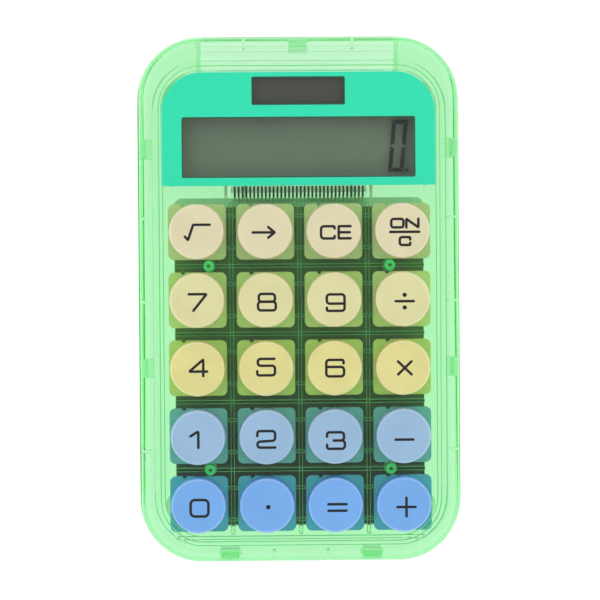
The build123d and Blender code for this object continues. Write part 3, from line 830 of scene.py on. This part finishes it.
GLYPHS: dict[str, Glyph] = {
    "key_root": Glyph(
        lines=(((-3.1, -1.05), (-2.35, -1.95), (-1.0, 1.95), (3.2, 1.95)),), corner=0.12, shift=(0.22, -0.2)
    ),
    "key_shift": Glyph(
        lines=(((-2.8, 0.0), (2.7, 0.0)), ((1.15, 1.35), (2.75, 0.0), (1.15, -1.35))),
        corner=0.06,
        shift=(-0.33, -0.3),
    ),
    "key_clear_entry": Glyph(
        lines=(
            ((0.25, 1.0), (0.25, 1.55), (-3.2, 1.55), (-3.2, -1.55), (0.25, -1.55), (0.25, -0.95)),
        ),
        sharp=(((4.3, 1.55), (1.3, 1.55), (1.3, -1.55), (4.3, -1.55)), ((1.3, 0.0), (4.1, 0.0))),
        corner=0.75,
        shift=(-0.05, -0.4),
    ),
    "key_on_clear": Glyph(
        lines=(
            ((-3.1, -0.4), (4.25, -0.4)),
            ((1.95, -2.35), (1.95, -1.75), (-0.7, -1.75), (-0.7, -3.75), (1.95, -3.75), (1.95, -3.2)),
        ),
        sharp=(((1.0, 0.72), (1.0, 2.9), (4.05, 0.72), (4.05, 2.9)),),
        loops=(box_line(-2.85, 0.25, 0.75, 2.9),),
        corner=0.6,
        shift=(0.0, 0.0),
    ),
    "key_7": Glyph(lines=(((-WIDE, TALL), (WIDE, TALL), (-1.1, -TALL)),), corner=0.12, shift=(0.22, -0.5)),
    "key_8": Glyph(
        loops=(
            ((-1.6, 0.1), (1.6, 0.1), (2.05, 0.5), (2.05, TALL), (-2.05, TALL), (-2.05, 0.5)),
            box_line(-WIDE, WIDE, -TALL, 0.12),
        ),
        shift=(0.33, -0.55),
    ),
    "key_9": Glyph(
        lines=(
            (
                *((-WIDE, -1.3), (-WIDE, -TALL), (WIDE, -TALL), (WIDE, TALL)),
                *((-WIDE, TALL), (-WIDE, -0.25), (WIDE, -0.25)),
            ),
        ),
        shift=(0.35, -0.8),
    ),
    "key_divide": Glyph(
        lines=(((-2.3, 0.0), (2.3, 0.0)),), dots=((0.0, 1.6, 0.55), (0.0, -1.6, 0.55)), shift=(0.45, -0.56)
    ),
    "key_4": Glyph(
        lines=(((1.3, -TALL), (1.3, TALL), (-WIDE, -0.95), (WIDE, -0.95)),), corner=0.1, shift=(0.2, 0.35)
    ),
    "key_5": Glyph(
        lines=(
            (
                *((2.1, TALL), (-2.1, TALL), (-2.1, 0.35), (WIDE, 0.35)),
                *((WIDE, -TALL), (-WIDE, -TALL), (-WIDE, -1.05)),
            ),
        ),
        shift=(0.0, 0.4),
    ),
    "key_6": Glyph(
        lines=(
            (
                *((2.15, 1.2), (2.15, TALL), (-WIDE, TALL), (-WIDE, -TALL)),
                *((WIDE, -TALL), (WIDE, 0.3), (-WIDE, 0.3)),
            ),
        ),
        shift=(0.1, 0.0),
    ),
    "key_multiply": Glyph(
        lines=(((-1.7, -1.65), (1.7, 1.65)), ((-1.7, 1.65), (1.7, -1.65))), shift=(0.37, -0.08)
    ),
    "key_1": Glyph(lines=(((-1.05, 0.85), (0.95, TALL), (0.95, -TALL)),), corner=0.2, shift=(-0.85, -0.45)),
    "key_2": Glyph(
        lines=(
            (
                *((-WIDE, 0.85), (-WIDE, TALL), (WIDE, TALL), (WIDE, -0.35)),
                *((-WIDE, -0.6), (-WIDE, -TALL), (WIDE, -TALL)),
            ),
        ),
        shift=(-0.1, -0.52),
    ),
    "key_3": Glyph(
        lines=(
            ((-WIDE, 1.0), (-WIDE, TALL), (2.05, TALL), (2.05, 0.0), (-0.55, 0.0)),
            ((0.6, 0.0), (WIDE, 0.0), (WIDE, -TALL), (-WIDE, -TALL), (-WIDE, -1.05)),
        ),
        shift=(0.17, -0.98),
    ),
    "key_minus": Glyph(lines=(((-2.25, 0.0), (2.25, 0.0)),), shift=(0.18, -0.89)),
    "key_0": Glyph(loops=(box_line(-WIDE, WIDE, -TALL, TALL),), corner=1.05, shift=(0.27, -0.46)),
    "key_point": Glyph(dots=((0.0, 0.0, 0.58),), shift=(0.28, -0.35)),
    "key_equals": Glyph(
        lines=(((-2.3, 0.83), (2.3, 0.83)), ((-2.3, -0.83), (2.3, -0.83))), shift=(0.45, -0.58)
    ),
    "key_plus": Glyph(lines=(((-2.3, 0.0), (2.3, 0.0)), ((0.0, -2.35), (0.0, 2.35))), shift=(0.57, -0.62)),
}

KEY_ROWS: tuple[tuple[KeyTone, tuple[str, ...]], ...] = (
    (KeyTone.CREAM, ("key_root", "key_shift", "key_clear_entry", "key_on_clear")),
    (KeyTone.PALE_YELLOW, ("key_7", "key_8", "key_9", "key_divide")),
    (KeyTone.YELLOW, ("key_4", "key_5", "key_6", "key_multiply")),
    (KeyTone.PALE_BLUE, ("key_1", "key_2", "key_3", "key_minus")),
    (KeyTone.BLUE, ("key_0", "key_point", "key_equals", "key_plus")),
)


@dataclass
class Keypad:
    """The round keys: a cap on a square flange, with a printed sign."""

    plane: KeypadPlane
    cap_radius: float = 6.97 * MM
    cap_top: float = 11.3 * MM
    edge_painted_highlight: float = 0.8 * MM
    dish: float = 0.28 * MM
    flange_top: float = 5.35 * MM
    flange_foot: float = 4.35 * MM
    flange_corner: float = 1.5 * MM
    notch_place: float = -3.7 * MM
    notch_radius: float = 0.6 * MM
    ink_width: float = 0.66 * MM
    sharp_corner: float = 0.12
    cap_sides: int = 96
    # the rings of the cap's round edge that carry the painted highlight
    painted_highlight_rings: tuple[int, int] = (4, 10)
    ink_lift: float = 0.02 * MM

    def cap(self, centre: tuple[float, float]) -> Surface:
        """The round cap: a shallow dish, a quarter-round edge and a straight side.

        The dish's height is the top less its depth times one minus the square of
        the radius's share of the dish.

        Args:
            centre: The key's middle.

        Returns:
            The closed surface.
        """
        flat = self.cap_radius - self.edge_painted_highlight
        turn = np.linspace(0, math.pi / 2, 12)[:, None]
        shoulder = self.cap_top - self.edge_painted_highlight
        foot = np.array([[self.cap_radius, self.flange_foot], [self.cap_radius, shoulder - 1e-6]])
        round_edge = np.hstack((flat + self.edge_painted_highlight * np.cos(turn), shoulder + self.edge_painted_highlight * np.sin(turn)))
        share = np.linspace(0.96, 0.02, 14)[:, None]
        bowl = np.hstack((flat * share, self.cap_top - self.dish * (1 - share**2)))
        return turned(np.vstack((foot, round_edge, bowl)), centre, self.cap_sides)

    def flange(self, centre: tuple[float, float], half: tuple[float, float]) -> Surface:
        """The square flange, with round corners, a half-round notch in its far edge and eased edges.

        Args:
            centre: The key's middle.
            half: Half the flange's sizes along x and y.

        Returns:
            The closed surface.
        """
        outline = rounded_box(half[0], half[1], self.flange_corner)
        turn = np.linspace(0, math.pi, 13)
        notch_x = self.notch_place + self.notch_radius * np.cos(turn)
        notch_y = half[1] - self.notch_radius * np.sin(turn)
        from_corner = outline - (half[0] - self.flange_corner, half[1])
        far_right = int(np.argmin(np.hypot(*from_corner.T)))
        notch = np.column_stack((notch_x, notch_y))
        outline = np.vstack((outline[: far_right + 1], notch, outline[far_right + 1 :]))
        ease = 0.15 * MM
        layers = [(ease, self.flange_foot), (0.0, self.flange_foot + ease), (0.0, self.flange_top - ease)]
        layers.append((ease, self.flange_top))
        reach = np.hypot(*outline.T)[:, None]
        rings = []
        for inset, height in layers:
            spots = outline * (1 - inset / reach) + np.array(centre)
            rings.append(np.column_stack((spots, np.full(len(spots), height))))
        return stacked_rings(np.array(rings))

    def share_out(
        self, mesh: bpy.types.Mesh, finishes: Sequence[bpy.types.Material], cap_faces: int
    ) -> None:
        """Gives the cap's round edge its painted highlight finish and the flange its own finish.

        Args:
            mesh: A moulding whose cap's faces come first, ring by ring.
            finishes: The cap's, the edge's painted highlight and the flange's materials.
            cap_faces: How many of the faces are the cap's.
        """
        for finish in finishes[1:]:
            mesh.materials.append(finish)
        slots = np.zeros(len(mesh.polygons), dtype=np.int32)
        first, last = (ring * self.cap_sides for ring in self.painted_highlight_rings)
        # slot 1 is the painted highlight on the round edge
        slots[first:last] = 1
        slots[cap_faces:] = 2
        mesh.polygons.foreach_set("material_index", slots)

    def sign(self, glyph: Glyph, centre: tuple[float, float]) -> Surface:
        """The printed sign, a hair proud of the dish.

        Args:
            glyph: Its strokes and dots.
            centre: The key's middle.

        Returns:
            The closed surface of all its strokes.
        """
        middle = np.array(centre) + np.array(glyph.shift) * MM
        parts: list[Surface] = []
        runs = [(line, glyph.corner, False) for line in glyph.lines]
        runs += [(line, self.sharp_corner, False) for line in glyph.sharp]
        runs += [(loop, glyph.corner, True) for loop in glyph.loops]
        low, high = -0.05 * MM, self.ink_lift
        for corners, corner, closed in runs:
            spots = [(x * MM, y * MM) for x, y in corners]
            path = softened(spots, corner * MM, closed)
            parts.append(stroke(self.resampled(path, closed), self.ink_width, low, high, closed))
        for x, y, radius in glyph.dots:
            profile = np.array([[radius * MM, low], [radius * MM, high]])
            parts.append(turned(profile, (x * MM, y * MM), 24))
        ink = Surface.joined(parts)
        flat = self.cap_radius - self.edge_painted_highlight
        spot = ink.points[:, :2] + np.array(glyph.shift) * MM
        share = np.clip(np.hypot(*spot.T) / flat, 0, 1)
        height = self.cap_top - self.dish * (1 - share**2) + ink.points[:, 2]
        return Surface(np.column_stack((ink.points[:, :2] + middle, height)), ink.faces)

    @staticmethod
    def resampled(path: np.ndarray, closed: bool, step: float = 0.25 * MM) -> np.ndarray:
        """Adds points along long runs of a path, so that it can follow the dish.

        Args:
            path: The path's points.
            closed: Whether it is a loop.
            step: The longest gap that stays.

        Returns:
            The path with its own points and the added ones.
        """
        ends = np.vstack((path[1:], path[:1])) if closed else path[1:]
        out: list[np.ndarray] = []
        for here, after in zip(path, ends):
            count = max(1, int(np.linalg.norm(after - here) / step))
            share = np.linspace(0, 1, count, endpoint=False)[:, None]
            out.append(here + (after - here) * share)
        if not closed:
            out.append(path[-1:])
        return np.vstack(out)

    def build(self) -> None:
        """Builds each key's cap, flange and sign on its own body."""
        ink = SatinPlastic("legend_ink", (0.008, 0.008, 0.01), 0.5, 0.0, 0.05).make()
        for tone, keys in KEY_ROWS:
            finishes = tone.finishes()
            for key in keys:
                low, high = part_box(key)
                half_y = (high[1] - low[1]) / 2 / math.cos(self.plane.lean)
                half_y -= (self.flange_top - self.flange_foot) / 2 * math.tan(self.plane.lean)
                half = ((high[0] - low[0]) / 2, half_y)
                centre = key_centre(self.plane, key)
                top, foot = self.cap(centre), self.flange(centre, half)
                moulding = Surface.joined([top, foot]).placed(self.plane)
                cap = moulding.piece(f"{key}_moulding", key, finishes[0])
                self.share_out(cap.data, finishes, len(top.faces))
                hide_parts(key)
                self.sign(GLYPHS[key], centre).placed(self.plane).piece(f"{key}_sign", key, ink)


# ---------------------------------------------------------------- the studio


@dataclass
class Studio:
    """The pale floor, the soft light and the camera."""

    plane: KeypadPlane
    camera_spot: tuple[float, float] = (-7.1 * MM, 7.1 * MM)
    target: tuple[float, float] = (0.1 * MM, -0.1 * MM)
    distance: float = 480 * MM
    target_height: float = 5.35 * MM
    view_width: float = 154.6 * MM
    roll: float = 0.42
    table_glow: float = 0.85
    room_overhead: float = 0.45
    room_round: float = 1.15
    overhead_from: tuple[float, float] = (0.8, 0.97)
    sensor: float = 36.0
    light_turns: int = 32

    def build(self) -> None:
        """Builds the floor, the lights and the camera."""
        self.floor()
        self.light()
        self.camera()
        paths = bpy.context.scene.cycles
        paths.max_bounces = paths.glossy_bounces = paths.transmission_bounces = self.light_turns

    def floor(self) -> None:
        """A wide pale floor under the feet."""
        size, ground = 3.0, CAD_BOX[0][2]
        corners = [(-size, -size, ground), (size, -size, ground), (size, size, ground), (-size, size, ground)]
        mesh = bpy.data.meshes.new("floor")
        mesh.from_pydata(corners, [], [(0, 1, 2, 3)])
        nodes = Nodes("floor_paper")
        tone = nodes.ramp(nodes.noise(6.0), [(0.3, (0.29, 0.29, 0.29)), (0.7, (0.31, 0.31, 0.31))])
        nodes.link(tone, nodes.shader.inputs["Base Color"])
        nodes.set(Roughness=0.9, Emission_Color=(1, 1, 1, 1), Emission_Strength=self.table_glow)
        mesh.materials.append(nodes.material)
        floor = bpy.data.objects.new("floor", mesh)
        bpy.context.scene.collection.objects.link(floor)

    def light(self) -> None:
        """An even bright room that is dimmer straight overhead."""
        world = bpy.data.worlds.new("studio")
        bpy.context.scene.world = world
        world.use_nodes = True
        tree = world.node_tree
        background = tree.nodes["Background"]
        split = tree.nodes.new("ShaderNodeSeparateXYZ")
        tree.links.new(tree.nodes.new("ShaderNodeTexCoord").outputs["Generated"], split.inputs["Vector"])
        glow = tree.nodes.new("ShaderNodeMapRange")
        glow.interpolation_type = "SMOOTHSTEP"
        low, high = self.overhead_from
        glow.inputs["From Min"].default_value = low
        glow.inputs["From Max"].default_value = high
        glow.inputs["To Min"].default_value = self.room_round
        glow.inputs["To Max"].default_value = self.room_overhead
        tree.links.new(split.outputs["Z"], glow.inputs["Value"])
        tree.links.new(glow.outputs["Result"], background.inputs["Strength"])
        background.inputs["Color"].default_value = (1, 1, 1, 1)
        bpy.context.scene.view_settings.view_transform = "Standard"

    def camera(self) -> None:
        """A long lens straight above the keypad, a touch off its middle."""
        eye_height = self.distance + self.target_height
        spots = np.array([(*self.camera_spot, eye_height), (*self.target, self.target_height)])
        eye, aim = (Vector(row) for row in self.plane.place(spots))
        data = bpy.data.cameras.new("camera")
        data.sensor_width = self.sensor
        data.lens = self.sensor * self.distance / self.view_width
        camera = bpy.data.objects.new("camera", data)
        forward = (aim - eye).normalized()
        up = Vector((0, math.cos(self.plane.lean), math.sin(self.plane.lean)))
        up = Matrix.Rotation(math.radians(self.roll), 3, forward) @ up
        right = forward.cross(up).normalized()
        up = right.cross(forward)
        camera.matrix_world = Matrix.Translation(eye) @ Matrix((right, up, -forward)).transposed().to_4x4()
        bpy.context.scene.collection.objects.link(camera)
        bpy.context.scene.camera = camera


def main() -> None:
    """Builds the calculator from the case inwards, then the keys and the studio."""
    logging.basicConfig(level=logging.INFO, format="%(name)s %(message)s")
    plane = KeypadPlane.from_frame()
    Case(plane).build()
    Display(plane).build()
    Inside().build()
    Keypad(plane).build()
    Studio(plane).build()


if __name__ == "__main__":
    main()
